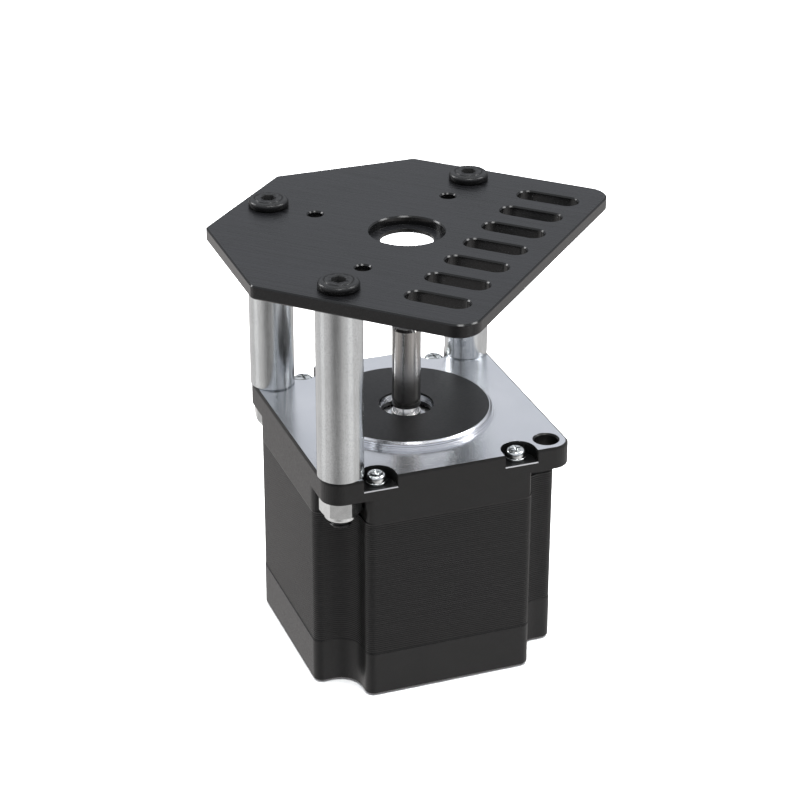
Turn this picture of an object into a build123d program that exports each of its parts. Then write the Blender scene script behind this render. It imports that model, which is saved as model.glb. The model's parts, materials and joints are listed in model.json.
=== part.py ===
from build123d import *
import os
from math import cos, pi, radians, sin, sqrt

# Size 23 hybrid stepper motor on a slotted mounting plate, held off by three standoffs.
# Row frame: origin at the centre of the motor's rear face, +Z along the output shaft,
# +X along the plate's slots, +Y across them. The motor stands turned by motor_turn about Z.
# All lengths are in millimetres.

# ---- driving dimensions -------------------------------------------------------------
# motor, standard size 23 frame
frame_side = 56.4
hole_square = 47.14
pilot_dia = 38.1
pilot_height = 1.6
pilot_foot_dia = 39.0
pilot_foot_height = 0.3
motor_length = 54.0
flange_thickness = 5.0
flange_corner_r = 4.2
front_bell_depth = 10.9
rear_bell_depth = 10.4
motor_turn = 45.0
corner_hole_dia = 5.2

# corner notches that run down the motor below the flange
notch_half = 19.2
notch_inner_r = 5.0
notch_edge_r = 2.0
bell_notch_half = 18.95
bell_notch_inner_r = 4.0
stator_inset = 0.1

# shaft and rotor
shaft_dia = 6.35
shaft_reach = 20.6
shaft_chamfer = 0.5
shaft_neck_dia = 5.9
shaft_neck_length = 1.5
rotor_shaft_dia = 9.0
rotor_dia = 38.4
rotor_teeth = 50
rotor_tooth_depth = 0.7
rotor_length = 32.3
magnet_thickness = 2.7
magnet_dia = 34.0

# stator
stator_bore_dia = 39.0
stator_poles = 8
teeth_per_pole = 5
tooth_pitch = 7.2
tooth_gap = 1.2
tooth_depth = 0.6
pole_neck_width = 6.4
shoe_back_r = 21.2
slot_bottom_r = 25.2
slot_mouth = 2.6

# ball bearings, inch size R4
bearing_bore = 6.35
bearing_od = 15.875
bearing_width = 4.978
ball_dia = 2.381
ball_count = 8
ball_pitch_r = 5.56
race_clearance = 0.05
inner_land_r = 4.65
outer_land_r = 6.65
bearing_top_drop = 1.3

# plate, standoffs and their fasteners
plate_half = 40.0
plate_right = 32.2
plate_thickness = 3.0
plate_corner_r = 5.0
plate_left_corner_r = 1.8
edge_break = 0.3
standoff_length = 40.0
standoff_dia = 10.0
standoff_bore_dia = 5.3
bolt_dia = 5.0
bolt_length = 55.0
bolt_head_dia = 8.8
bolt_head_height = 1.9
bolt_crown_r = 3.0
bolt_socket_af = 3.0
bolt_socket_depth = 1.3
nut_af = 8.0
nut_hex_height = 3.8
nut_height = 5.0
nut_collar_r = 3.6
seat_hole_dia = 16.2
seat_hole_depth = 2.0
seat_lip_dia = 11.6
small_hole_dia = 3.3
small_hole_square = 31.0
slot_count = 7
slot_pitch = 10.0
slot_length = 14.0
slot_width = 5.0
slot_centre_x = 20.5

# tie screws through the motor
tie_x = 16.0
tie_y = 24.6
tie_pocket_r = 3.85
tie_pocket_y = 25.9
tie_pocket_depth = 2.7
tie_dia = 2.5
tie_head_dia = 4.5
tie_head_height = 1.7
tie_washer_thickness = 0.7
tie_length = 45.0

# ---- derived places -----------------------------------------------------------------
flange_top = motor_length
flange_bottom = flange_top - flange_thickness
stator_top = motor_length - front_bell_depth
stator_bottom = rear_bell_depth
stator_length = stator_top - stator_bottom
boss_top = flange_top + pilot_height
plate_bottom = flange_top + standoff_length
plate_top = plate_bottom + plate_thickness
shaft_top = flange_top + shaft_reach
hole_half = hole_square / 2
corner_reach = hole_half * sqrt(2)
front_bearing_top = flange_top - bearing_top_drop
front_bearing_bottom = front_bearing_top - bearing_width
bell_floor = 1.8
wave_height = 0.7
rear_bearing_bottom = bell_floor + wave_height
rear_bearing_top = rear_bearing_bottom + bearing_width
rotor_bottom = stator_bottom + (stator_length - rotor_length) / 2
rotor_top = rotor_bottom + rotor_length
winding_cavity_r = 25.6
motor = Rot(0, 0, motor_turn)

# the three loaded corners of the flange, seen in the row frame
corners = {"front": (0, -corner_reach), "rear": (0, corner_reach), "left": (-corner_reach, 0)}
socket_turn = {"front": 54.5, "rear": 24.5, "left": 24.5}
nut_turn = {"front": 26.0, "rear": 50.0, "left": 5.0}


def rod(radius, bottom, top, x=0.0, y=0.0):
    return Pos(x, y, (bottom + top) / 2) * Cylinder(radius, top - bottom)


def tube(outer_r, inner_r, bottom, top):
    return rod(outer_r, bottom, top) - rod(inner_r, bottom - 1, top + 1)


def prism(sketch, bottom, top):
    return extrude(Pos(0, 0, bottom) * sketch, top - bottom)


def square_corners(half_x, half_y):
    return [(sx * half_x, sy * half_y) for sx in (-1, 1) for sy in (-1, 1)]


def outer_edges_at(shape, height, reach):
    """Edges lying flat at a height whose middle is further out than reach from the axis."""
    found = []
    for edge in shape.edges():
        box = edge.bounding_box()
        middle = edge.position_at(0.5)
        flat = abs(box.min.Z - height) < 1e-4 and abs(box.max.Z - height) < 1e-4
        if flat and sqrt(middle.X ** 2 + middle.Y ** 2) > reach:
            found.append(edge)
    return found


def body_outline(side, half, inner_r):
    """Square with its four corners notched back to half, every corner rounded."""
    cut = side / 2 - half
    sketch = Rectangle(side, side)
    for sx, sy in square_corners(1, 1):
        centre = half + cut / 2
        sketch -= Pos(sx * centre, sy * centre) * Rectangle(cut + 0.001, cut + 0.001)
    inner = [v for v in sketch.vertices() if abs(abs(v.X) - abs(v.Y)) < 0.1]
    sketch = fillet(inner, inner_r)
    outer = [v for v in sketch.vertices() if max(abs(v.X), abs(v.Y)) > side / 2 - 0.1]
    outer = [v for v in outer if abs(min(abs(v.X), abs(v.Y)) - half) < 0.1]
    return fillet(outer, notch_edge_r)


# ---- mounting plate and standoffs ---------------------------------------------------
def mounting_plate():
    eighth = plate_half * (sqrt(2) - 1)
    outline = Polygon(
        (plate_right, -plate_half),
        (plate_right, plate_half),
        (-eighth, plate_half),
        (-plate_half, eighth),
        (-plate_half, -eighth),
        (-eighth, -plate_half),
        align=None,
    )
    right = [v for v in outline.vertices() if v.X > 0]
    outline = fillet(right, plate_corner_r)
    left = [v for v in outline.vertices() if v.X < -eighth + 0.1]
    outline = fillet(left, plate_left_corner_r)
    plate = prism(outline, plate_bottom, plate_top)
    plate -= rod(seat_hole_dia / 2, plate_top - seat_hole_depth, plate_top + 1)
    plate -= rod(seat_lip_dia / 2, plate_bottom - 1, plate_top)
    small = small_hole_square / sqrt(2)
    for x, y in ((-small, 0), (0, -small), (0, small)):
        plate -= rod(small_hole_dia / 2, plate_bottom - 1, plate_top + 1, x, y)
    for x, y in corners.values():
        plate -= rod(corner_hole_dia / 2, plate_bottom - 1, plate_top + 1, x, y)
    for i in range(slot_count):
        y = (i - (slot_count - 1) / 2) * slot_pitch
        slot = Pos(slot_centre_x, y) * SlotOverall(slot_length, slot_width)
        plate -= prism(slot, plate_bottom - 1, plate_top + 1)
    rims = [e for e in plate.edges() if abs(e.bounding_box().size.Z) < 1e-4]
    faces = [e for e in rims if abs(abs(e.position_at(0.5).Z - plate_bottom - 1.5) - 1.5) < 1e-3]
    return chamfer(faces, edge_break)


def standoff(x, y):
    post = rod(standoff_dia / 2, flange_top, plate_bottom, x, y)
    post -= rod(standoff_bore_dia / 2, flange_top - 1, plate_bottom + 1, x, y)
    return chamfer(post.edges().filter_by(GeomType.CIRCLE), edge_break)


def plate_bolt(x, y, turn):
    """Low socket head: a flat crown round the socket, a rounded shoulder, and a plain shank."""
    top = plate_top + bolt_head_height
    head = rod(bolt_head_dia / 2, plate_top, top - 0.15)
    head = fillet(head.edges().filter_by(GeomType.CIRCLE).group_by(Axis.Z)[-1], 0.8)
    crown = rod(bolt_crown_r, plate_top, top)
    head += chamfer(crown.edges().filter_by(GeomType.CIRCLE).group_by(Axis.Z)[-1], 0.12)
    socket = RegularPolygon(bolt_socket_af / 2, 6, major_radius=False, rotation=turn)
    head -= prism(socket, top - bolt_socket_depth, top + 1)
    shank = rod(bolt_dia / 2, plate_top - bolt_length, plate_top)
    shank = chamfer(shank.edges().filter_by(GeomType.CIRCLE).group_by(Axis.Z)[0], 0.5)
    return Pos(x, y, 0) * (head + shank)


def lock_nut(x, y, turn):
    """Hexagon with chamfered corners and a round collar that grips the insert."""
    top = flange_bottom
    bottom = top - nut_height
    hexagon = RegularPolygon(nut_af / 2, 6, major_radius=False, rotation=turn)
    body = prism(hexagon, top - nut_hex_height, top)
    cone = Pos(0, 0, top - nut_hex_height + 2.25) * Cone(3.85, 3.85 + 4.5 * 1.7, 4.5)
    body &= cone
    collar = rod(nut_collar_r, bottom, top - nut_hex_height)
    collar = fillet(collar.edges().filter_by(GeomType.CIRCLE).group_by(Axis.Z)[0], 0.5)
    body += collar
    body -= rod(bolt_dia / 2 + 0.03, bottom - 1, top + 1)
    body -= rod(3.05, bottom + 0.25, top - nut_hex_height + 0.1)
    return Pos(x, y, 0) * body


def nut_insert(x, y):
    bottom = flange_bottom - nut_height
    ring = tube(3.0, bolt_dia / 2 + 0.02, bottom + 0.3, flange_bottom - nut_hex_height)
    return Pos(x, y, 0) * ring


# ---- motor shell --------------------------------------------------------------------
def front_bell():
    flange = RectangleRounded(frame_side, frame_side, flange_corner_r)
    bell = prism(flange, flange_bottom, flange_top)
    bell = chamfer(outer_edges_at(bell, flange_top, 20), 0.4)
    skirt = body_outline(frame_side, bell_notch_half, bell_notch_inner_r)
    bell += prism(skirt, stator_top, flange_bottom)
    bell += rod(pilot_dia / 2, flange_top, boss_top)
    bell = chamfer(outer_edges_at(bell, boss_top, 10), 0.45)
    bell += rod(pilot_foot_dia / 2, flange_top - 1, flange_top + pilot_foot_height)
    bell -= rod(winding_cavity_r, stator_top - 1, front_bearing_bottom + 0.1)
    bell -= rod(bearing_od / 2 + 0.02, stator_top, front_bearing_top)
    bell -= rod(6.1, front_bearing_top - 1, boss_top + 1)
    for x, y in square_corners(hole_half, hole_half):
        bell -= rod(corner_hole_dia / 2, flange_bottom - 1, flange_top + 1, x, y)
    pocket_floor = flange_top - tie_pocket_depth
    for sx, sy in square_corners(1, 1):
        x = sx * (tie_x + 0.1)
        bell -= rod(tie_pocket_r, pocket_floor, boss_top, x, sy * tie_pocket_y)
        mouth = Rectangle(2 * tie_pocket_r, 10)
        bell -= prism(Pos(x, sy * (tie_pocket_y + 5)) * mouth, pocket_floor, boss_top)
        bell -= rod(tie_dia / 2 + 0.15, stator_top - 1, pocket_floor + 1, sx * tie_x, sy * tie_y)
    lips = [e for e in outer_edges_at(bell, pocket_floor, 30) if abs(e.position_at(0.5).Y) > 28.1]
    bell = chamfer(lips, 0.2)
    spare = [e for e in outer_edges_at(bell, flange_top, 30) if e.geom_type == GeomType.CIRCLE]
    spare = [e for e in spare if abs(e.radius - corner_hole_dia / 2) < 1e-3]
    bell = chamfer(spare, 0.35)
    return motor * bell


def rear_bell():
    """Cup with a closed floor, a bearing housing and a window for the leads."""
    bell = prism(body_outline(frame_side, notch_half, notch_inner_r), 0, stator_bottom)
    bell = chamfer(outer_edges_at(bell, 0, 20), 0.5)
    bell -= rod(winding_cavity_r, bell_floor, stator_bottom + 1)
    bell += tube(bearing_od / 2 + 2.2, bearing_od / 2 + 0.02, bell_floor - 0.5, rear_bearing_top)
    for x, y in square_corners(tie_x, tie_y):
        bell -= rod(tie_dia / 2 + 0.03, 3.0, stator_bottom + 1, x, y)
    bell -= Pos(0, frame_side / 2 - 2, 7.2) * Box(9.0, 8, 6.4 + 0.01)
    return motor * bell


def stator_section():
    section = body_outline(frame_side - 2 * stator_inset, notch_half, notch_inner_r)
    slots = Circle(slot_bottom_r) - Circle(shoe_back_r)
    step = 360 / stator_poles
    for k in range(stator_poles):
        slots -= Rot(0, 0, k * step) * Pos(23, 0) * Rectangle(10, pole_neck_width)
    for k in range(stator_poles):
        slots += Rot(0, 0, (k + 0.5) * step) * Pos(20.6, 0) * Rectangle(3.2, slot_mouth)
    section -= Circle(stator_bore_dia / 2)
    section -= slots
    for k in range(stator_poles):
        for i in range(teeth_per_pole - 1):
            angle = k * step + (i - (teeth_per_pole - 2) / 2) * tooth_pitch
            gap = Pos(stator_bore_dia / 2, 0) * Rectangle(2 * tooth_depth, tooth_gap)
            section -= Rot(0, 0, angle) * gap
    for x, y in square_corners(tie_x, tie_y):
        section -= Pos(x, y) * Circle(tie_dia / 2 + 0.25)
    return section


def stator_stack():
    return motor * prism(stator_section(), stator_bottom, stator_top)


def insulator(face, away):
    """Moulded end ring with a cheek behind and in front of each winding."""
    def span(near, far):
        return sorted((face + away * near, face + away * far))

    shape = tube(25.45, 24.95, *span(0.02, 4.6))
    cheek_ring = tube(shoe_back_r + 0.2, 20.3, *span(0.02, 4.6))
    step = 360 / stator_poles
    for k in range(stator_poles):
        low, high = span(0.02, 0.7)
        shape += prism(Rot(0, 0, k * step) * Pos(22.8, 0) * Rectangle(4.6, 6.8), low, high)
        low, high = span(-1, 6)
        wedge = Rot(0, 0, (k + 0.5) * step) * Pos(20.8, 0) * Rectangle(4, 4.4)
        cheek_ring -= prism(wedge, low, high)
    return motor * (shape + cheek_ring)


def coil(k):
    """One winding: a rounded rectangular ring about its pole neck."""
    inner_w = 7.2
    inner_h = stator_length + 1.6
    wire = 3.3
    loop = RectangleRounded(inner_w + 2 * wire, inner_h + 2 * wire, 3.0)
    loop -= RectangleRounded(inner_w, inner_h, 0.4)
    middle = (stator_top + stator_bottom) / 2
    facing = Plane(origin=(15, 0, middle), x_dir=(0, 1, 0), z_dir=(1, 0, 0))
    ring = extrude(facing * loop, 15)
    ring &= tube(24.8, 21.6, 0, plate_bottom)
    return motor * Rot(0, 0, k * 360 / stator_poles) * ring


def terminal_board():
    board = tube(24.6, 12.0, 3.6, 4.6)
    for k in range(8):
        angle = radians(k * 45 + 12)
        board -= rod(0.5, 3, 5, 23.2 * cos(angle), 23.2 * sin(angle))
    return motor * board


def lead_grommet():
    """Grommet in the rear bell's window, with four holes for the motor's leads."""
    face = Plane(origin=(0, frame_side / 2, 7.0), x_dir=(1, 0, 0), z_dir=(0, -1, 0))
    lip = extrude(face * RectangleRounded(10.6, 6.6, 1.2), -0.8)
    plug = lip + extrude(face * Pos(0, 0.18) * RectangleRounded(8.9, 6.3, 0.4), 2.5)
    for i in range(4):
        plug -= extrude(face * Pos((i - 1.5) * 2.0, 0) * Circle(0.75), 3, both=True)
    return motor * plug


def tie_screw(x, y):
    """Pan head screw with a cross recess."""
    seat = flange_top - tie_pocket_depth + tie_washer_thickness
    top = seat + tie_head_height
    head = rod(tie_head_dia / 2, seat, top)
    head = fillet(head.edges().filter_by(GeomType.CIRCLE).group_by(Axis.Z)[-1], 1.1)
    cross = Rectangle(2.9, 0.55) + Rectangle(0.55, 2.9)
    taper = Pos(0, 0, top - 0.45) * Cone(0.45, 1.55, 1.1)
    head -= prism(cross, top - 1.0, top + 1) & taper
    shank = rod(tie_dia / 2, seat - tie_length, seat)
    shank = chamfer(shank.edges().filter_by(GeomType.CIRCLE).group_by(Axis.Z)[0], 0.3)
    return motor * Pos(x, y, 0) * (head + shank)


def tie_washer(x, y, turn):
    """Spring washer, split at one side."""
    seat = flange_top - tie_pocket_depth
    ring = tube(tie_head_dia / 2 + 0.1, tie_dia / 2 + 0.1, seat, seat + tie_washer_thickness)
    ring = fillet(ring.edges().filter_by(GeomType.CIRCLE).sort_by(SortBy.RADIUS)[-2:], 0.2)
    ring -= Rot(0, 0, turn) * Pos(2, 0, seat) * Rot(30, 0, 0) * Box(3, 0.35, 4)
    return motor * Pos(x, y, 0) * ring


# ---- rotor --------------------------------------------------------------------------
def shaft():
    stub_bottom = rear_bearing_bottom + 0.1
    neck_bottom = boss_top - shaft_neck_length
    bar = rod(shaft_dia / 2, stub_bottom, shaft_top)
    bar = chamfer(bar.edges().filter_by(GeomType.CIRCLE), shaft_chamfer)
    bar += rod(rotor_shaft_dia / 2, rear_bearing_top, front_bearing_bottom)
    relief = rod(shaft_dia / 2 + 1, neck_bottom, neck_bottom + shaft_neck_length)
    relief -= rod(shaft_neck_dia / 2, neck_bottom - 1, neck_bottom + shaft_neck_length + 1)
    return bar - relief


def rotor_cup(bottom, top, turn):
    """Toothed cup: fifty straight teeth round its rim."""
    tip = rotor_dia / 2
    root = tip - rotor_tooth_depth
    pitch = 2 * pi / rotor_teeth
    points = []
    for i in range(rotor_teeth):
        for radius, share in ((root, -0.27), (tip, -0.21), (tip, 0.21), (root, 0.27)):
            angle = radians(turn) + (i + share) * pitch
            points.append((radius * cos(angle), radius * sin(angle)))
    section = make_face(Polyline(*points, close=True)) - Circle(rotor_shaft_dia / 2 + 0.02)
    return prism(section, bottom, top)


def rotor_magnet():
    middle = (rotor_bottom + rotor_top) / 2
    half = magnet_thickness / 2 - 0.02
    return tube(magnet_dia / 2, rotor_shaft_dia / 2 + 0.02, middle - half, middle + half)


# ---- ball bearings ------------------------------------------------------------------
def race_groove(middle):
    return Pos(0, 0, middle) * Torus(ball_pitch_r, ball_dia / 2 + race_clearance)


def bearing_inner_ring(bottom):
    ring = tube(inner_land_r, bearing_bore / 2 + 0.01, bottom, bottom + bearing_width)
    ring = chamfer(ring.edges().filter_by(GeomType.CIRCLE), 0.2)
    return ring - race_groove(bottom + bearing_width / 2)


def bearing_outer_ring(bottom):
    ring = tube(bearing_od / 2, outer_land_r, bottom, bottom + bearing_width)
    ring = chamfer(ring.edges().filter_by(GeomType.CIRCLE), 0.2)
    return ring - race_groove(bottom + bearing_width / 2)


def ball_places(middle):
    for k in range(ball_count):
        angle = 2 * pi * k / ball_count
        yield Pos(ball_pitch_r * cos(angle), ball_pitch_r * sin(angle), middle)


def bearing_balls(bottom):
    middle = bottom + bearing_width / 2
    return Compound(children=[place * Sphere(ball_dia / 2) for place in ball_places(middle)])


def bearing_cage(bottom):
    middle = bottom + bearing_width / 2
    cage = tube(6.05, 5.1, middle - 1.5, middle + 1.5)
    for k in range(ball_count):
        pocket = Pos(ball_pitch_r, 0, middle) * Rot(0, 90, 0) * Cylinder(ball_dia / 2 + 0.05, 3)
        cage -= Rot(0, 0, 360 * k / ball_count) * pocket
    return cage


def bearing_shields(bottom):
    """The two shields, just inside the outer ring's faces."""
    top = bottom + bearing_width
    low = tube(6.62, 4.97, bottom + 0.25, bottom + 0.5)
    high = tube(6.62, 4.97, top - 0.5, top - 0.25)
    return Compound(children=[low, high])


def wave_washer():
    """Spring washer with three waves round it, under the rear bearing."""
    waves = 3
    lift = 0.2
    thickness = 0.25
    middle = bell_floor + wave_height / 2 - thickness / 2

    def rim(radius):
        points = []
        for i in range(36):
            angle = 2 * pi * i / 36
            height = middle + lift * sin(waves * angle)
            points.append((radius * cos(angle), radius * sin(angle), height))
        return Spline(*points, periodic=True)

    sheet = Face.make_surface_from_curves(rim(5.6).edge(), rim(7.6).edge())
    return extrude(sheet, thickness, dir=(0, 0, 1))


# ---- write every piece --------------------------------------------------------------
def all_pieces():
    pieces = {"mounting_plate": mounting_plate()}
    for name, (x, y) in corners.items():
        pieces["standoff_" + name] = standoff(x, y)
        pieces["plate_bolt_" + name] = plate_bolt(x, y, socket_turn[name])
        pieces["lock_nut_" + name] = lock_nut(x, y, nut_turn[name])
        pieces["nut_insert_" + name] = nut_insert(x, y)
    pieces["front_bell"] = front_bell()
    pieces["rear_bell"] = rear_bell()
    pieces["stator_stack"] = stator_stack()
    pieces["front_insulator"] = insulator(stator_top, 1)
    pieces["rear_insulator"] = insulator(stator_bottom, -1)
    for k in range(stator_poles):
        pieces["coil_" + str(k + 1)] = coil(k)
    pieces["terminal_board"] = terminal_board()
    pieces["lead_grommet"] = lead_grommet()
    for i, (x, y) in enumerate(square_corners(tie_x, tie_y)):
        pieces["tie_screw_" + str(i + 1)] = tie_screw(x, y)
        pieces["tie_washer_" + str(i + 1)] = tie_washer(x, y, 70 * i + 20)
    pieces["shaft"] = shaft()
    middle = (rotor_bottom + rotor_top) / 2
    half = magnet_thickness / 2
    half_tooth = 180 / rotor_teeth
    pieces["rear_rotor_cup"] = rotor_cup(rotor_bottom, middle - half, 0)
    pieces["front_rotor_cup"] = rotor_cup(middle + half, rotor_top, half_tooth)
    pieces["rotor_magnet"] = rotor_magnet()
    for name, bottom in (("front", front_bearing_bottom), ("rear", rear_bearing_bottom)):
        pieces[name + "_bearing_inner_ring"] = bearing_inner_ring(bottom)
        pieces[name + "_bearing_outer_ring"] = bearing_outer_ring(bottom)
        pieces[name + "_bearing_balls"] = bearing_balls(bottom)
        pieces[name + "_bearing_cage"] = bearing_cage(bottom)
        pieces[name + "_bearing_shields"] = bearing_shields(bottom)
    pieces["wave_washer"] = wave_washer()
    return pieces


os.makedirs("parts", exist_ok=True)
for node, piece in all_pieces().items():
    export_step(piece, "parts/" + node + ".step")
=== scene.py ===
import bpy
import bmesh
import json
import random
from math import cos, pi, radians, sin, sqrt
from mathutils import Matrix, Vector


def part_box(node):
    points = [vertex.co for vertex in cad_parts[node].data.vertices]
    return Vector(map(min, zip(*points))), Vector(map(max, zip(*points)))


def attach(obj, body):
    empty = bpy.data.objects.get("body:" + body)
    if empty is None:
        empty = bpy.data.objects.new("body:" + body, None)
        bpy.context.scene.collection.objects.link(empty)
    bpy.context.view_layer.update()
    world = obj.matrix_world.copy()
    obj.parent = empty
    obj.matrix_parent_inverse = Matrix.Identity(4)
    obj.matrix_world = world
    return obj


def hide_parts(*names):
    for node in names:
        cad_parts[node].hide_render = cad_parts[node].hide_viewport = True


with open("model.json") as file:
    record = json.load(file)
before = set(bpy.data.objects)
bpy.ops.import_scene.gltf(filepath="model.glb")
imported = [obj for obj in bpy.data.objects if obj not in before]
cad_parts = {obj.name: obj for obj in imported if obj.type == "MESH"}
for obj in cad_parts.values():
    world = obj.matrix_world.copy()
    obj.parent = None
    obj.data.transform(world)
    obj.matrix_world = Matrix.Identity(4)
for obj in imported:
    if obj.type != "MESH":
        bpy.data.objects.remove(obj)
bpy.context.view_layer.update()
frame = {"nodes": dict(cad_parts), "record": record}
nodes = frame["nodes"]
chance = random.Random(23)
MM = 0.001

# ---- places read from the frame, in millimetres, with Z measured up from the rear face ---
flange_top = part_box("standoff_front")[0].z / MM
stator_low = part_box("stator_stack")[0].z / MM
stator_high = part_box("stator_stack")[1].z / MM
boss_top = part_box("front_bell")[1].z / MM
head_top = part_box("plate_bolt_front")[1].z / MM
motor_turn = radians(45)
corners = ("front", "rear", "left")

# ---- sizes of the pieces made here and of the machined faces, in millimetres --------------
# the flange: a square with round corners and a chamfered rim
flange_half = 28.2
flange_corner_r = 4.2
flange_rim = 0.55
# the boss: a black disc on top, a bright side with two painted shade lines at its steps, and a hole
boss_disc_r = 18.45
boss_foot_r = 19.6
boss_shade_steps = (0.55, 1.0)
boss_shade_line_height = 0.14
boss_hole_r = 6.15
# the bright outer lip of the screw pockets' floors
pocket_lip = flange_top - 2.8
# the shaft's neck in the boss, painted near white as a painted highlight, and the plate bolts' hexagon
# sockets, painted dark inside as painted shade
neck_length = 1.6
neck_flare = 0.4
socket_r = 1.78
# the stator's outer wall lies beyond bore_limit_r; the tie screws are in the motor's own axes
bore_limit_r = 25.5
tie_x = 16.0
tie_y = 24.6
tie_clearance = 2.0
# the stator's sheets
lamination_count = 65
lamination_pitch = (stator_high - stator_low) / lamination_count
lamination_groove = 0.07
groove_half_width = 0.07
sheet_offset = 0.004
# the thread at the lower end of each plate bolt
thread_pitch = 0.8
thread_length = 13.0
thread_overlap = 0.4
thread_crest_r = 2.47
thread_depth = 0.43
thread_tip_r = 1.95


# ---- materials ---------------------------------------------------------------------------
class Shader:
    """One Principled material, with short helpers for its node tree. A share is a value from 0 to 1."""

    def __init__(self, name):
        self.material = bpy.data.materials.new(name)
        self.material.use_nodes = True
        self.tree = self.material.node_tree
        self.bsdf = self.tree.nodes["Principled BSDF"]
        self.place = self.node("ShaderNodeTexCoord").outputs["Object"]
        self.edge = self.soft_edges(0.1 * MM)

    def node(self, kind, **settings):
        """Adds a node and sets its properties."""
        made = self.tree.nodes.new(kind)
        for key, value in settings.items():
            setattr(made, key, value)
        return made

    def feed(self, socket, value):
        """Links an output to the socket, or sets a constant or a colour on it."""
        if isinstance(value, bpy.types.NodeSocket):
            self.tree.links.new(value, socket)
        elif isinstance(value, tuple) and len(value) == 3 and socket.type == "RGBA":
            socket.default_value = (*value, 1.0)
        else:
            socket.default_value = value

    def set(self, **values):
        """Feeds inputs of the Principled node, named with underscores."""
        for key, value in values.items():
            self.feed(self.bsdf.inputs[key.replace("_", " ")], value)

    def soft_edges(self, radius):
        """Rounds the shading of sharp edges, and returns 1 on an edge and 0 on a face."""
        rounded = self.node("ShaderNodeBevel", samples=4)
        rounded.inputs["Radius"].default_value = radius
        self.last_normal = rounded.outputs["Normal"]
        self.feed(self.bsdf.inputs["Normal"], self.last_normal)
        geometry = self.node("ShaderNodeNewGeometry")
        dot = self.node("ShaderNodeVectorMath", operation="DOT_PRODUCT")
        self.feed(dot.inputs[0], self.last_normal)
        self.feed(dot.inputs[1], geometry.outputs["Normal"])
        return self.span(dot.outputs["Value"], 0.995, 0.90)

    def noise(self, stretch, detail=3.0, rough=0.5):
        """Noise with so many grains a metre along X, Y and Z."""
        mapping = self.node("ShaderNodeMapping")
        mapping.inputs["Scale"].default_value = stretch
        self.feed(mapping.inputs["Vector"], self.place)
        made = self.node("ShaderNodeTexNoise")
        made.inputs["Scale"].default_value = 1.0
        made.inputs["Detail"].default_value = detail
        made.inputs["Roughness"].default_value = rough
        self.feed(made.inputs["Vector"], mapping.outputs["Vector"])
        return made.outputs["Fac"]

    def math(self, operation, a, b=0.0):
        """One step of arithmetic on outputs or numbers."""
        made = self.node("ShaderNodeMath", operation=operation)
        for socket, value in zip(made.inputs, (a, b)):
            self.feed(socket, value)
        return made.outputs[0]

    def span(self, value, low, high, to_low=0.0, to_high=1.0):
        """The value moved from one range to another and held inside it."""
        made = self.node("ShaderNodeMapRange")
        keys = ("From Min", "From Max", "To Min", "To Max")
        for key, number in zip(keys, (low, high, to_low, to_high)):
            made.inputs[key].default_value = number
        self.feed(made.inputs["Value"], value)
        return made.outputs["Result"]

    def blend(self, share, first, second):
        """The first colour at 0 and the second at 1."""
        made = self.node("ShaderNodeMix", data_type="RGBA")
        self.feed(made.inputs["Factor"], share)
        ends = [s for s in made.inputs if s.type == "RGBA"]
        self.feed(ends[0], first)
        self.feed(ends[1], second)
        return [s for s in made.outputs if s.type == "RGBA"][0]

    def bump(self, height, strength, depth):
        """Tilts the shading by a height field on top of what is already there."""
        made = self.node("ShaderNodeBump")
        made.inputs["Strength"].default_value = strength
        made.inputs["Distance"].default_value = depth
        self.feed(made.inputs["Height"], height)
        self.feed(made.inputs["Normal"], self.last_normal)
        self.last_normal = made.outputs["Normal"]
        self.feed(self.bsdf.inputs["Normal"], self.last_normal)

    def axes(self):
        """X, Y, Z of the point, in metres."""
        made = self.node("ShaderNodeSeparateXYZ")
        self.feed(made.inputs[0], self.place)
        return made.outputs

    def length(self, a, b):
        """Length of a level vector, from its two parts."""
        squares = self.math("ADD", self.math("MULTIPLY", a, a), self.math("MULTIPLY", b, b))
        return self.math("SQRT", squares)

    def radius(self, x=0.0, y=0.0):
        """Distance of the point from an upright axis through x, y."""
        ax = self.axes()
        return self.length(self.math("SUBTRACT", ax[0], x), self.math("SUBTRACT", ax[1], y))

    def normal_z(self):
        """1 on a face that looks up, 0 on an upright one, -1 on one that looks down."""
        geometry = self.node("ShaderNodeNewGeometry")
        split = self.node("ShaderNodeSeparateXYZ")
        self.feed(split.inputs[0], geometry.outputs["True Normal"])
        return split.outputs[2]

    def above(self, value, limit, soft=0.02 * MM):
        """1 above the limit and 0 below it."""
        return self.span(value, limit - soft, limit + soft)

    def below(self, value, limit, soft=0.02 * MM):
        """1 below the limit and 0 above it."""
        return self.span(value, limit - soft, limit + soft, 1.0, 0.0)

    def flange_reach(self):
        """Distance outside an inner square of the flange; flange_corner_r at its rounded outline."""
        ax = self.axes()
        core = (flange_half - flange_corner_r) * MM
        beyond = []
        for operation in ("ADD", "SUBTRACT"):
            turned = self.math("MULTIPLY", self.math(operation, ax[0], ax[1]), sqrt(0.5))
            across = self.math("ABSOLUTE", turned)
            beyond.append(self.math("MAXIMUM", self.math("SUBTRACT", across, core), 0.0))
        return self.length(*beyond)

    def band(self, value, low, high):
        """1 between the two limits and 0 outside them."""
        return self.both(self.above(value, low), self.below(value, high))

    def rest(self, share):
        """What is left of 1."""
        return self.math("SUBTRACT", 1.0, share)

    def either(self, *shares):
        """The largest of any number of shares."""
        result = shares[0]
        for share in shares[1:]:
            result = self.math("MAXIMUM", result, share)
        return result

    def both(self, *shares):
        """The product of any number of shares."""
        result = shares[0]
        for share in shares[1:]:
            result = self.math("MULTIPLY", result, share)
        return result


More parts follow.
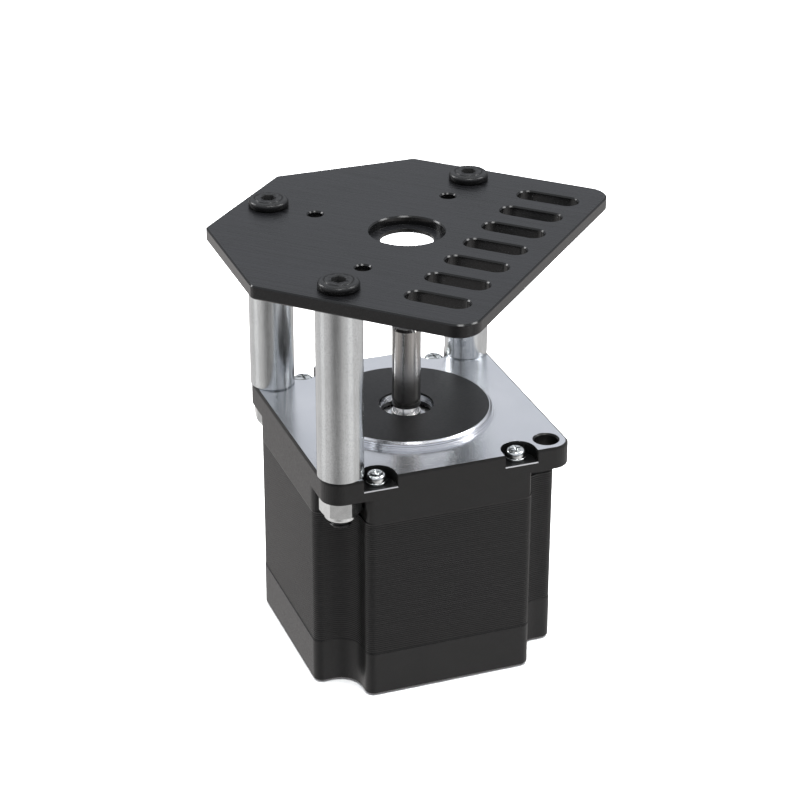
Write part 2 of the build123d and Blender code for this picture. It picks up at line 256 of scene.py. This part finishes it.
def plate_material():
    """Black anodised sheet, brushed along X before it was dyed."""
    s = Shader("plate_black_anodised")
    fine = s.noise((60, 9000, 9000), 2.0, 0.6)
    streak = s.noise((22, 2600, 2600), 3.0, 0.65)
    cloud = s.noise((30, 60, 60), 2.0)
    tone = s.math("ADD", s.math("MULTIPLY", fine, 0.4), s.math("MULTIPLY", streak, 0.6))
    tone = s.math("ADD", s.span(tone, 0.36, 0.66), s.span(cloud, 0.3, 0.7, -0.1, 0.1))
    top = s.above(s.normal_z(), 0.9, 0.05)
    colour = s.blend(tone, (0.0010, 0.0010, 0.0012), (0.0085, 0.0087, 0.0098))
    colour = s.blend(top, (0.0022, 0.0022, 0.0023), colour)
    worn = s.both(s.edge, s.span(s.noise((900, 900, 900), 3.0), 0.45, 0.65))
    s.set(Base_Color=s.blend(s.math("MULTIPLY", worn, 0.12), colour, (0.05, 0.05, 0.052)))
    face_rough = s.span(tone, 0.0, 1.0, 0.22, 0.38)
    edge_rough = s.math("MULTIPLY", s.rest(top), 0.17)
    s.set(Roughness=s.math("ADD", s.both(top, face_rough), edge_rough))
    s.set(IOR=1.40)
    s.bump(s.both(tone, top), 0.8, 0.020 * MM)
    return s


def paint_material(name, base, rough, grain, ior=1.40, wear=0.2):
    """Sprayed black paint with fine orange peel and a little dust in the finish."""
    s = Shader(name)
    peel = s.noise((grain, grain, grain), 2.0, 0.5)
    fleck = s.noise((9000, 9000, 9000), 1.0, 0.5)
    cloud = s.noise((70, 70, 70), 3.0)
    tone = s.math("ADD", s.span(cloud, 0.3, 0.7, 0.0, 0.6), s.span(fleck, 0.62, 0.8, 0.0, 0.9))
    worn = s.both(s.edge, s.span(s.noise((800, 800, 800), 3.0), 0.45, 0.65))
    colour = s.blend(tone, base, tuple(2.0 * c for c in base))
    s.set(Base_Color=s.blend(s.math("MULTIPLY", worn, wear), colour, (0.06, 0.06, 0.06)))
    s.set(Roughness=s.span(peel, 0.3, 0.7, rough - 0.04, rough + 0.05))
    s.set(IOR=ior)
    s.bump(s.noise((3300, 3300, 3300), 1.0), 0.55, 0.03 * MM)
    s.bump(peel, 0.25, 0.03 * MM)
    return s


def metal_material(name, base, rough, stretch, depth=0.006, speckle=0.0, ground=0.0):
    """Bare metal: depth is its grain's, in millimetres, and speckle its share of dark spots.

    ground is how far turning marks spread its reflections along Z.
    """
    s = Shader(name)
    if ground > 0:
        around = s.node("ShaderNodeTangent", direction_type="RADIAL", axis="Z")
        s.feed(s.bsdf.inputs["Tangent"], around.outputs["Tangent"])
        s.bsdf.inputs["Anisotropic"].default_value = ground
        s.bsdf.inputs["Anisotropic Rotation"].default_value = 0.25
    grain = s.noise(stretch, 3.0, 0.6)
    cloud = s.noise((140, 140, 140), 3.0)
    spots = s.noise((3800, 3800, 3800), 2.0, 0.6)
    tone = s.math("ADD", s.span(cloud, 0.3, 0.7, 0.0, 0.5), s.span(grain, 0.3, 0.7, 0.0, 0.5))
    tone = s.math("SUBTRACT", tone, s.span(spots, 0.52, 0.66, 0.0, speckle))
    s.set(Base_Color=s.blend(tone, tuple(0.80 * c for c in base), base))
    s.set(Metallic=1.0)
    s.set(Roughness=s.span(grain, 0.3, 0.7, rough - 0.04, rough + 0.05))
    s.bump(spots, 0.45 * speckle, 0.006 * MM)
    s.bump(grain, 0.5, depth * MM)
    return s


def plain_material(name, base, rough, grain=3000.0):
    """A plain moulded, sintered or laminated solid with a fine skin."""
    s = Shader(name)
    fine = s.noise((grain, grain, grain), 2.0)
    cloud = s.noise((120, 120, 120), 2.0)
    s.set(Base_Color=s.blend(s.span(cloud, 0.3, 0.7), tuple(0.82 * c for c in base), base))
    s.set(Roughness=s.span(fine, 0.3, 0.7, rough - 0.05, rough + 0.06))
    s.bump(fine, 0.3, 0.02 * MM)
    return s


def front_bell_material():
    """Painted casting whose flange face, boss and pocket lips are machined bright, with painted shade round
    the boss foot and two painted shade lines at the boss side's steps.
    """
    s = Shader("front_bell_paint_and_machined")
    z = s.axes()[2]
    r = s.radius()
    up = s.normal_z()
    reach = s.flange_reach()
    rim_start = (flange_corner_r - flange_rim) * MM
    level = flange_top * MM
    face = s.both(s.above(up, 0.9, 0.02), s.band(z, level - 0.1 * MM, level + 0.05 * MM))
    face = s.both(face, s.below(reach, rim_start))
    side = s.both(s.above(z, level + 0.02 * MM), s.band(r, boss_disc_r * MM, boss_foot_r * MM))
    disc = s.both(s.above(z, (boss_top - 0.1) * MM), s.below(r, boss_disc_r * MM))
    lip = s.both(s.band(up, 0.4, 0.9), s.band(z, (pocket_lip - 0.2) * MM, (pocket_lip + 0.2) * MM))
    bore = s.both(s.below(r, boss_hole_r * MM), s.band(z, level - 0.4 * MM, (boss_top - 0.5) * MM))
    bright = s.either(face, side, lip, bore)
    painted = s.rest(bright)

    rings = s.node("ShaderNodeTexNoise", noise_dimensions="1D")
    rings.inputs["Scale"].default_value = 5200
    rings.inputs["Detail"].default_value = 3
    s.feed(rings.inputs["W"], r)
    ring = rings.outputs["Fac"]
    cloud = s.noise((60, 60, 60), 3.0)
    grain = s.noise((2500, 2500, 2500), 2.0)
    metal = s.blend(s.span(cloud, 0.3, 0.7), (0.76, 0.775, 0.81), (0.84, 0.85, 0.88))
    # painted shade round the foot of the boss, broken up by the turning rings
    boss_foot_shade = s.span(r, (boss_foot_r - 0.6) * MM, (boss_foot_r + 1.0) * MM, 0.55, 0.06)
    metal = s.blend(s.both(boss_foot_shade, s.span(ring, 0.45, 0.65)), metal, (0.40, 0.40, 0.41))
    # painted shade: two thin dark lines on the boss side, under its steps
    for height in boss_shade_steps:
        low = level + height * MM
        step_shade = s.both(side, s.band(z, low, low + boss_shade_line_height * MM))
        metal = s.blend(s.math("MULTIPLY", step_shade, 0.75), metal, (0.16, 0.16, 0.17))

    peel = s.noise((2600, 2600, 2600), 2.0)
    fleck = s.noise((9000, 9000, 9000), 1.0)
    dark = s.blend(s.span(fleck, 0.60, 0.8), (0.0032, 0.0032, 0.0032), (0.010, 0.010, 0.010))
    dark = s.blend(disc, dark, (0.010, 0.010, 0.0105))
    s.set(Base_Color=s.blend(bright, dark, metal))
    s.set(Metallic=bright)
    metal_rough = s.span(ring, 0.3, 0.7, 0.20, 0.26)
    paint_rough = s.span(peel, 0.3, 0.7, 0.33, 0.42)
    s.set(Roughness=s.math("ADD", s.both(bright, metal_rough), s.both(painted, paint_rough)))
    s.set(IOR=1.41)
    chamfer = s.span(reach, rim_start, flange_corner_r * MM, flange_rim * MM, 0.0)
    s.bump(chamfer, 1.0, 1.0)
    marks = s.both(bright, s.math("MULTIPLY", ring, 0.05))
    marks = s.math("ADD", marks, s.math("MULTIPLY", grain, 0.08))
    marks = s.math("ADD", marks, s.both(painted, s.math("MULTIPLY", peel, 1.6)))
    s.bump(marks, 0.30, 0.03 * MM)
    return s


def stator_material():
    """Paint over stacked sheets: a thinner, duller coat on each sheet's edge."""
    s = Shader("stator_painted_laminations")
    z = s.axes()[2]
    layers = s.node("ShaderNodeTexNoise", noise_dimensions="1D")
    layers.inputs["Scale"].default_value = 1900
    layers.inputs["Detail"].default_value = 1
    s.feed(layers.inputs["W"], z)
    smear = s.noise((500, 500, 3600), 3.0, 0.6)
    peel = s.noise((3200, 3200, 3200), 2.0)
    height = s.math("SUBTRACT", z, stator_low * MM)
    layer = s.math("FRACT", s.math("DIVIDE", height, lamination_pitch * MM))
    seam = s.span(s.math("ABSOLUTE", s.math("SUBTRACT", layer, 0.5)), 0.22, 0.42)
    tone = s.span(layers.outputs["Fac"], 0.3, 0.7, 0.0, 0.5)
    tone = s.math("ADD", tone, s.span(smear, 0.4, 0.7, 0.0, 0.25))
    colour = s.blend(tone, (0.0032, 0.0032, 0.0032), (0.0085, 0.0083, 0.0082))
    s.set(Base_Color=s.blend(seam, colour, (0.001, 0.001, 0.001)))
    s.set(Roughness=s.math("ADD", s.span(tone, 0.0, 1.0, 0.34, 0.40), s.math("MULTIPLY", seam, 0.25)))
    s.set(IOR=1.40)
    s.bump(peel, 0.60, 0.03 * MM)
    return s


def shaft_material():
    """Ground steel, with a turned neck that flares a little towards the front bearing; the neck is painted
    near white as a painted highlight.
    """
    grain = (500, 500, 9000)
    s = metal_material("shaft_ground_steel", (0.34, 0.33, 0.318), 0.15, grain, depth=0.002, ground=0.90)
    z = s.axes()[2]
    high = boss_top * MM
    low = high - neck_length * MM
    # painted highlight: the neck's colour is raised to near white, far above the rest of the steel
    neck_highlight = s.band(z, low, high)
    colour = s.bsdf.inputs["Base Color"].links[0].from_socket
    s.set(Base_Color=s.blend(neck_highlight, colour, (0.97, 0.96, 0.94)))
    flare = s.span(z, low, high, neck_flare * neck_length * MM, 0.0)
    s.bump(flare, 1.0, 1.0)
    return s


def middle_of(node):
    """X and Y of the middle of a CAD node's box, in metres."""
    low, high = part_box(node)
    return (low.x + high.x) / 2, (low.y + high.y) / 2


def bolt_material():
    """Black oxide, with painted shade inside the hexagon sockets."""
    s = paint_material("bolt_black_oxide", (0.003, 0.003, 0.0032), 0.30, 4200.0, ior=1.45, wear=0.15)
    nearest = 1.0
    for corner in corners:
        x, y = middle_of("plate_bolt_" + corner)
        nearest = s.math("MINIMUM", nearest, s.radius(x, y))
    # painted shade: the hexagon sockets' insides are coloured near black
    socket_shade = s.both(s.below(nearest, socket_r * MM), s.below(s.axes()[2], (head_top - 0.08) * MM))
    colour = s.bsdf.inputs["Base Color"].links[0].from_socket
    rough = s.bsdf.inputs["Roughness"].links[0].from_socket
    s.set(Base_Color=s.blend(socket_shade, colour, (0.0004, 0.0004, 0.0004)))
    s.set(Roughness=s.math("MAXIMUM", rough, s.math("MULTIPLY", socket_shade, 0.9)))
    return s


# one finish for each material slot of the record
finishes = {
    "plate_black": plate_material(),
    "standoff_metal": metal_material(
        "standoff_satin_aluminium", (0.605, 0.625, 0.632), 0.22, (2400, 2400, 260), depth=0.002, speckle=0.7
    ),
    "black_oxide": bolt_material(),
    "zinc": metal_material("zinc_plate", (0.74, 0.76, 0.76), 0.17, (700, 700, 700), depth=0.003),
    "nylon": plain_material("insert_nylon", (0.75, 0.75, 0.70), 0.45),
    "bell_paint": paint_material("bell_black_paint", (0.0035, 0.0035, 0.0036), 0.36, 2600.0),
    "stator_paint": stator_material(),
    "insulator_plastic": plain_material("insulator_nylon", (0.70, 0.68, 0.60), 0.5),
    "copper": metal_material("winding_copper", (0.75, 0.33, 0.17), 0.28, (300, 300, 5200), depth=0.04),
    "board": plain_material("board_epoxy", (0.05, 0.20, 0.09), 0.4),
    "grommet_rubber": plain_material("grommet_rubber", (0.012, 0.012, 0.012), 0.65),
    "shaft_steel": shaft_material(),
    "rotor_steel": metal_material("rotor_laminations", (0.40, 0.40, 0.41), 0.35, (400, 400, 9000)),
    "magnet": plain_material("magnet_sintered", (0.10, 0.10, 0.11), 0.6),
    "bearing_steel": metal_material(
        "bearing_polished_steel", (0.84, 0.84, 0.83), 0.16, (500, 500, 9000), depth=0.002
    ),
    "cage_steel": metal_material("cage_pressed_steel", (0.60, 0.60, 0.60), 0.25, (900, 900, 900)),
    "spring_steel": metal_material("spring_blued_steel", (0.42, 0.42, 0.45), 0.28, (900, 900, 900)),
}


def dress_cad_nodes():
    """Gives each CAD node the finish of its slot; the front bell's shows its machined faces."""
    slots = {row["node"]: row["material_slot"] for row in frame["record"]["subparts"]}
    for name, node in nodes.items():
        node.data.materials.clear()
        node.data.materials.append(finishes[slots[name]].material)
    nodes["front_bell"].data.materials[0] = front_bell_material().material


# ---- pieces made here --------------------------------------------------------------------
def add_piece(name, mesh, finish, smooth_angle=None):
    """A mesh of one finish, shaded smooth below an edge angle."""
    piece = bpy.data.objects.new(name, mesh)
    bpy.context.scene.collection.objects.link(piece)
    mesh.materials.clear()
    mesh.materials.append(finish.material)
    if smooth_angle is not None:
        mesh.shade_smooth()
        mesh.set_sharp_from_angle(angle=radians(smooth_angle))
    return piece


def stand_in(name, mesh, node, slot, smooth_angle=None):
    """A piece on the frame body that is shown in place of one CAD node."""
    piece = add_piece(name, mesh, finishes[slot], smooth_angle)
    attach(piece, "frame")
    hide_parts(node)


def is_upright(face):
    """True for a face that stands along Z."""
    return abs(face.normal.z) < 0.1


def is_outer_wall(face):
    """True for the stator's upright outer faces, and not for its bore or its tie screw holes."""
    middle = face.calc_center_median() / MM
    if not is_upright(face) or middle.xy.length < bore_limit_r:
        return False
    across = abs(middle.x * cos(motor_turn) + middle.y * sin(motor_turn))
    along = abs(middle.y * cos(motor_turn) - middle.x * sin(motor_turn))
    near_tie = abs(across - tie_x) < tie_clearance and abs(along - tie_y) < tie_clearance
    return not near_tie


def cut_outer_wall(work, height):
    """Adds an edge round the stator's outer wall at this height, in metres."""
    parts = set()
    for face in work.faces:
        if is_outer_wall(face):
            parts.add(face)
            parts.update(face.edges)
            parts.update(face.verts)
    bmesh.ops.bisect_plane(work, geom=list(parts), dist=1e-8, plane_co=(0, 0, height), plane_no=(0, 0, 1))


def stator_laminations():
    """The stator with each sheet's edge standing out from thin grooves between the sheets."""
    work = bmesh.new()
    work.from_mesh(nodes["stator_stack"].data)
    bmesh.ops.remove_doubles(work, verts=work.verts, dist=1e-7)
    bmesh.ops.dissolve_limit(work, angle_limit=radians(0.5), verts=work.verts, edges=work.edges)

    # how far the wall moves out at each height, both in millimetres
    outward = {}
    for k in range(lamination_count):
        seam = stator_low + k * lamination_pitch
        offset = chance.uniform(-sheet_offset, sheet_offset)
        if k > 0:
            outward[round(seam - groove_half_width, 3)] = offset
            outward[round(seam, 3)] = -lamination_groove
            outward[round(seam + groove_half_width, 3)] = offset
            for height in (seam - groove_half_width, seam, seam + groove_half_width):
                cut_outer_wall(work, height * MM)

    work.normal_update()
    moves = []
    for v in {v for f in work.faces if is_outer_wall(f) for v in f.verts}:
        move = outward.get(round(v.co.z / MM, 3))
        away = sum((f.normal for f in v.link_faces if is_upright(f)), Vector((0, 0, 0)))
        if move is not None and away.length > 0:
            moves.append((v, away.normalized() * move * MM))
    for v, shift in moves:
        v.co += shift
    mesh = bpy.data.meshes.new("stator_laminations")
    work.to_mesh(mesh)
    work.free()
    stand_in("stator_laminations", mesh, "stator_stack", "stator_paint")


def thread_radius(z, angle, tip):
    """Radius of an M5 thread at a height and angle, pointed in at the bolt's tip."""
    phase = (z / thread_pitch - angle / (2 * pi)) % 1.0
    flat, flank = 0.07, 0.33
    share = min(max((abs(phase - 0.5) - flat) / flank, 0.0), 1.0)
    return min(thread_crest_r - thread_depth * share, thread_tip_r + (z - tip))


def threaded_bolt(corner):
    """The bolt's head and upper shank as in the frame, with a real helical thread below."""
    name = "plate_bolt_" + corner
    x, y = middle_of(name)
    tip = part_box(name)[0].z / MM
    join = tip + thread_length
    work = bmesh.new()
    work.from_mesh(nodes[name].data)
    bmesh.ops.remove_doubles(work, verts=work.verts, dist=1e-7)
    everything = list(work.verts) + list(work.edges) + list(work.faces)
    bmesh.ops.bisect_plane(
        work, geom=everything, dist=1e-8, plane_co=(0, 0, join * MM), plane_no=(0, 0, 1), clear_inner=True
    )
    level = {v for v in work.verts if abs(v.co.z / MM - join) < 0.001}
    rim = [e for e in work.edges if e.is_boundary and level.issuperset(e.verts)]
    bmesh.ops.edgeloop_fill(work, edges=rim)

    sides = 40
    levels_per_turn = 12
    levels = int(thread_length / thread_pitch * levels_per_turn)
    rings = []
    for k in range(levels + 1):
        z = tip + (thread_length + thread_overlap) * k / levels
        ring = []
        for i in range(sides):
            angle = 2 * pi * i / sides
            radius = thread_radius(z, angle, tip) * MM
            ring.append(work.verts.new((x + radius * cos(angle), y + radius * sin(angle), z * MM)))
        rings.append(ring)
    for lower, upper in zip(rings, rings[1:]):
        for i in range(sides):
            j = (i + 1) % sides
            work.faces.new((lower[i], lower[j], upper[j], upper[i]))
    work.faces.new(list(reversed(rings[0])))
    work.faces.new(rings[-1])
    bmesh.ops.recalc_face_normals(work, faces=work.faces)
    mesh = bpy.data.meshes.new("threaded_bolt_" + corner)
    work.to_mesh(mesh)
    work.free()
    stand_in("threaded_bolt_" + corner, mesh, name, "black_oxide", 32)


dress_cad_nodes()
stator_laminations()
for corner in corners:
    threaded_bolt(corner)


# ---- floor, light and camera -------------------------------------------------------------
dark_side = Vector((cos(radians(-80)), sin(radians(-80)), 0.0))
light_aim = Vector((0.0, 0.0, 0.05))


def stage_piece(name, points, faces, finish):
    """A piece of the studio: no shadow, and not seen in the metal's reflections."""
    mesh = bpy.data.meshes.new(name)
    mesh.from_pydata(points, [], faces)
    piece = add_piece(name, mesh, finish)
    piece.visible_glossy = False
    piece.visible_shadow = False
    return piece


def floor():
    """A white floor, just under the motor's rear face."""
    half, z = 4.0, -0.0002
    s = Shader("floor_white")
    s.set(Base_Color=(0.92, 0.92, 0.92), Roughness=1.0)
    s.bsdf.inputs["Specular IOR Level"].default_value = 0.0
    square = [(-half, -half, z), (half, -half, z), (half, half, z), (-half, half, z)]
    stage_piece("studio_floor", square, [(0, 1, 2, 3)], s)


def backdrop():
    """A white wall all round, seen by the camera only, so that a low view has no horizon."""
    sides, radius, height = 48, 3.8, 4.0
    s = Shader("backdrop_white")
    s.set(Base_Color=(0.0, 0.0, 0.0), Roughness=1.0, Emission_Color=(1.0, 1.0, 1.0))
    s.bsdf.inputs["Specular IOR Level"].default_value = 0.0
    s.bsdf.inputs["Emission Strength"].default_value = 1.1
    turns = [2 * pi * k / sides for k in range(sides)]
    points = [(radius * cos(a), radius * sin(a), z) for z in (-0.01, height) for a in turns]
    faces = [(k, (k + 1) % sides, sides + (k + 1) % sides, sides + k) for k in range(sides)]
    wall = stage_piece("studio_backdrop", points, faces, s)
    wall.visible_diffuse = False
    wall.visible_transmission = False


def softbox(name, direction, distance, size, watts, glossy=True):
    """An area light that faces the object; glossy says whether metal reflects it."""
    light = bpy.data.lights.new(name, "AREA")
    light.shape = "RECTANGLE"
    light.size, light.size_y = size
    light.energy = watts
    lamp = bpy.data.objects.new(name, light)
    bpy.context.scene.collection.objects.link(lamp)
    away = Vector(direction).normalized()
    lamp.location = light_aim + away * distance
    lamp.rotation_euler = away.to_track_quat("Z", "Y").to_euler()
    lamp.visible_glossy = glossy


def studio_world():
    """Soft white room: duller low down towards the camera and straight behind, bright overhead."""
    made = bpy.data.worlds.new("studio")
    bpy.context.scene.world = made
    made.use_nodes = True
    tree = made.node_tree
    background = tree.nodes["Background"]

    def node(kind, **settings):
        new = tree.nodes.new(kind)
        for key, value in settings.items():
            setattr(new, key, value)
        return new

    direction = node("ShaderNodeTexCoord").outputs["Generated"]

    def along(vector):
        """How far a direction points along the vector, from -1 to 1."""
        dot = node("ShaderNodeVectorMath", operation="DOT_PRODUCT")
        tree.links.new(direction, dot.inputs[0])
        dot.inputs[1].default_value = vector
        return dot.outputs["Value"]

    def ramp(source, stops, tint):
        """Brightness at places from -1 to 1, smoothed between them and tinted."""
        span = node("ShaderNodeMapRange")
        span.inputs["From Min"].default_value = -1
        tree.links.new(source, span.inputs["Value"])
        curve = node("ShaderNodeValToRGB")
        curve.color_ramp.interpolation = "B_SPLINE"
        marks = curve.color_ramp.elements
        while len(marks) < len(stops):
            marks.new(0.5)
        for mark, (place, level) in zip(marks, stops):
            mark.position = (place + 1) / 2
            mark.color = (level * tint[0], level * tint[1], level * tint[2], 1)
        tree.links.new(span.outputs["Result"], curve.inputs["Fac"])
        return curve.outputs["Color"]

    low = ramp(along(dark_side), [
        (-1.0, 0.35), (-0.92, 0.45), (-0.80, 0.78), (-0.4, 0.88), (0.2, 0.84), (0.50, 0.82),
        (0.66, 0.86), (0.78, 0.70), (0.86, 0.42), (0.91, 0.22), (1.0, 0.18),
    ], (1.02, 0.99, 0.98))
    high = ramp(along((0, 0, 1)), [
        (-1.0, 0.1), (-0.1, 0.1), (0.12, 0.15), (0.32, 0.70), (0.55, 0.75), (0.8, 1.0), (1.0, 1.0),
    ], (0.96, 0.99, 1.05))
    share = node("ShaderNodeMapRange")
    share.inputs["From Min"].default_value = -0.30
    share.inputs["From Max"].default_value = 0.05
    tree.links.new(along((0, 0, 1)), share.inputs["Value"])
    mix = node("ShaderNodeMix", data_type="RGBA")
    tree.links.new(share.outputs["Result"], mix.inputs["Factor"])
    ends = [s for s in mix.inputs if s.type == "RGBA"]
    tree.links.new(low, ends[0])
    tree.links.new(high, ends[1])
    tree.links.new([s for s in mix.outputs if s.type == "RGBA"][0], background.inputs["Color"])
    background.inputs["Strength"].default_value = 1.0


def photo_camera():
    """A long lens to the right of the object's front, looking down at about 27 degrees."""
    lens = bpy.data.cameras.new("photo_camera")
    lens.sensor_width = 36
    lens.lens = 108.806
    lens.clip_start = 0.01
    made = bpy.data.objects.new("photo_camera", lens)
    bpy.context.scene.collection.objects.link(made)
    right = Vector((0.90873, 0.41738, 0.00255))
    up = Vector((-0.18918, 0.40641, 0.89389))
    back = right.cross(up)
    spot = Vector((0.19807, -0.43601, 0.29655))
    made.matrix_world = Matrix((
        (right.x, up.x, back.x, spot.x),
        (right.y, up.y, back.y, spot.y),
        (right.z, up.z, back.z, spot.z),
        (0, 0, 0, 1),
    ))
    bpy.context.scene.camera = made


floor()
backdrop()
studio_world()
# a wide light overhead, three small ones higher than the plate, and two faint upright cards low down
softbox("overhead", (0.05, 0.1, 1.0), 2.2, (3.2, 3.2), 150, glossy=False)
softbox("left_high", (-0.85, -0.02, 0.52), 0.9, (0.24, 0.36), 2.8)
softbox("right_high", (0.65, 0.33, 0.68), 0.9, (0.24, 0.36), 2.8)
softbox("front_high", (0.29, -0.34, 0.885), 0.9, (0.26, 0.26), 2.2)
softbox("left_card", (-0.852, -0.524, -0.06), 0.9, (0.34, 0.85), 0.33)
softbox("right_card", (0.977, -0.215, -0.06), 0.9, (0.40, 0.85), 0.38)
photo_camera()
bpy.context.scene.view_settings.view_transform = "Standard"
